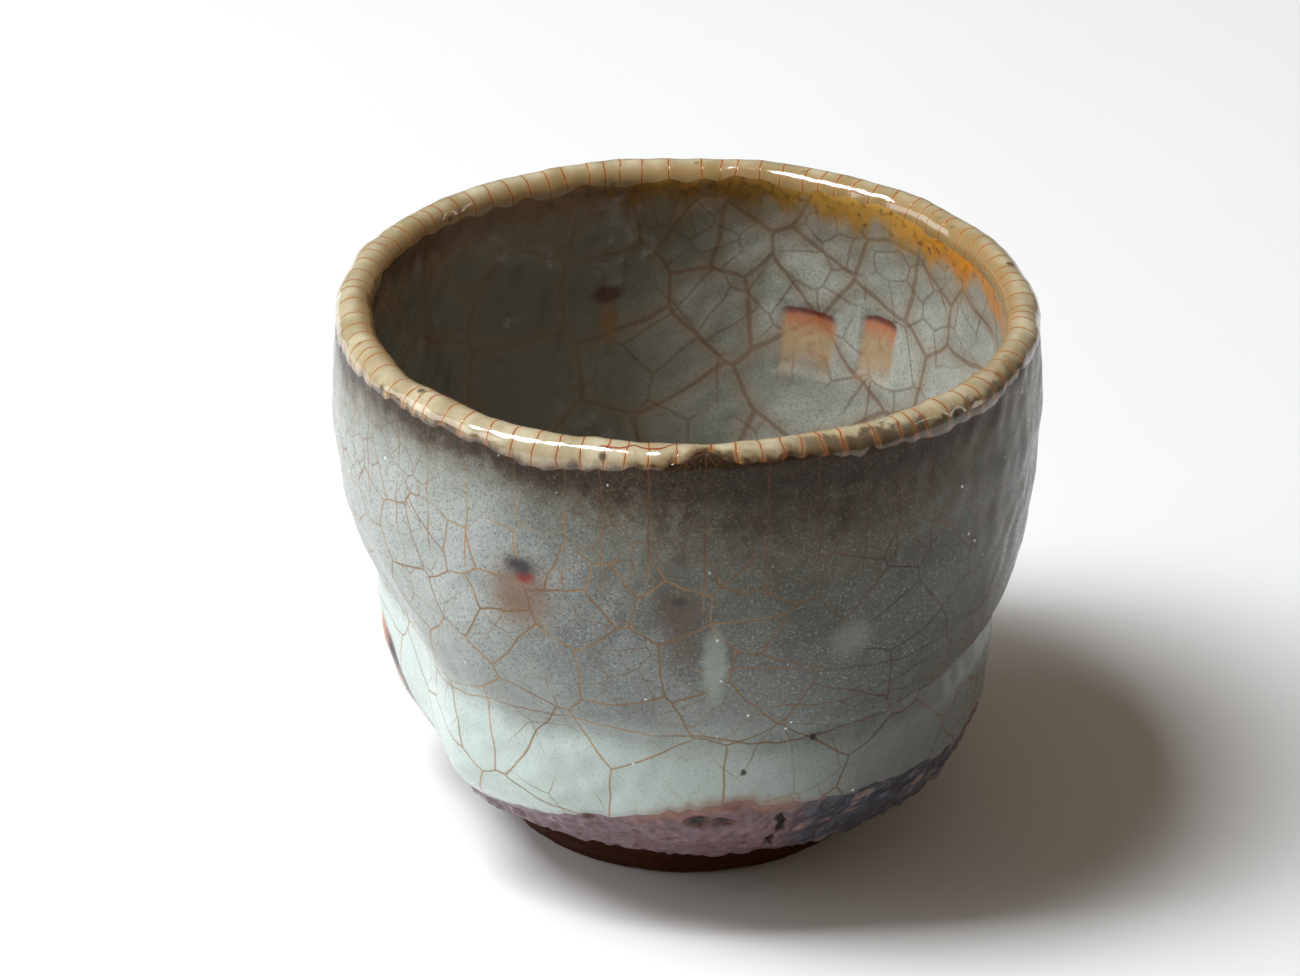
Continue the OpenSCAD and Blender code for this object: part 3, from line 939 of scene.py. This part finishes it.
floor_half = 3.0
floor_mesh = bpy.data.meshes.new("floor")
floor_mesh.from_pydata(
    [(x * floor_half, y * floor_half, 0) for x, y in ((-1, -1), (1, -1), (1, 1), (-1, 1))],
    [], [(0, 1, 2, 3)],
)
floor = bpy.data.objects.new("floor", floor_mesh)
bpy.context.collection.objects.link(floor)
paint = Finish("pale_sheet")
white = paint.mix(paint.noise(60, 30), srgb(224, 225, 226), srgb(227, 228, 229))
floor_mesh.materials.append(paint.done(white, 0.9, Specular_IOR_Level=0.1))


def lamp(name, way, distance, size, power, colour):
    """A soft area lamp that looks at the cup from a direction."""
    light = bpy.data.lights.new(name, "AREA")
    light.shape = "RECTANGLE"
    light.size, light.size_y = size
    light.energy = power
    light.color = colour
    made = bpy.data.objects.new(name, light)
    way = Vector(way).normalized()
    target = Vector((0, 0, 0.03))
    made.matrix_world = Matrix.Translation(target + way * distance) @ (
        way.to_track_quat("Z", "Y").to_matrix().to_4x4()
    )
    bpy.context.collection.objects.link(made)


lamp("high_lamp", (-0.48, -0.06, 0.87), 1.0, (0.26, 0.55), 13.5, (0.95, 0.98, 1.0))
lamp("side_lamp", (-0.92, 0.0, 0.36), 1.0, (0.8, 0.5), 4.2, (0.95, 0.98, 1.0))
lamp("right_fill", (0.93, 0.1, 0.3), 1.2, (0.1, 0.9), 0.9, (1.0, 0.88, 0.74))
world = bpy.data.worlds.new("soft_room")
world.use_nodes = True
world.node_tree.nodes["Background"].inputs["Color"].default_value = (1.0, 0.81, 0.62, 1.0)
world.node_tree.nodes["Background"].inputs["Strength"].default_value = 0.17
bpy.context.scene.world = world
bpy.context.scene.view_settings.view_transform = "Standard"

# ------------------------------------------------------------------------------ camera
# A long lens from the front, a little above the cup, so that the inside of the bowl shows.

look_at = Vector((-3.5, 0, 31.9)) * MM
camera_distance = 402.8 * MM
camera_pitch = math.radians(27.66)
camera_roll = math.radians(-0.147)
camera_data = bpy.data.cameras.new("camera")
camera_data.sensor_width = 36.0
camera_data.lens = 117.0
camera = bpy.data.objects.new("camera", camera_data)
back = Vector((0, -math.cos(camera_pitch), math.sin(camera_pitch)))
look = back.to_track_quat("Z", "Y").to_matrix().to_4x4()
tilt = Matrix.Rotation(camera_roll, 4, "Z")
camera.matrix_world = Matrix.Translation(look_at + back * camera_distance) @ look @ tilt
bpy.context.collection.objects.link(camera)
bpy.context.scene.camera = camera
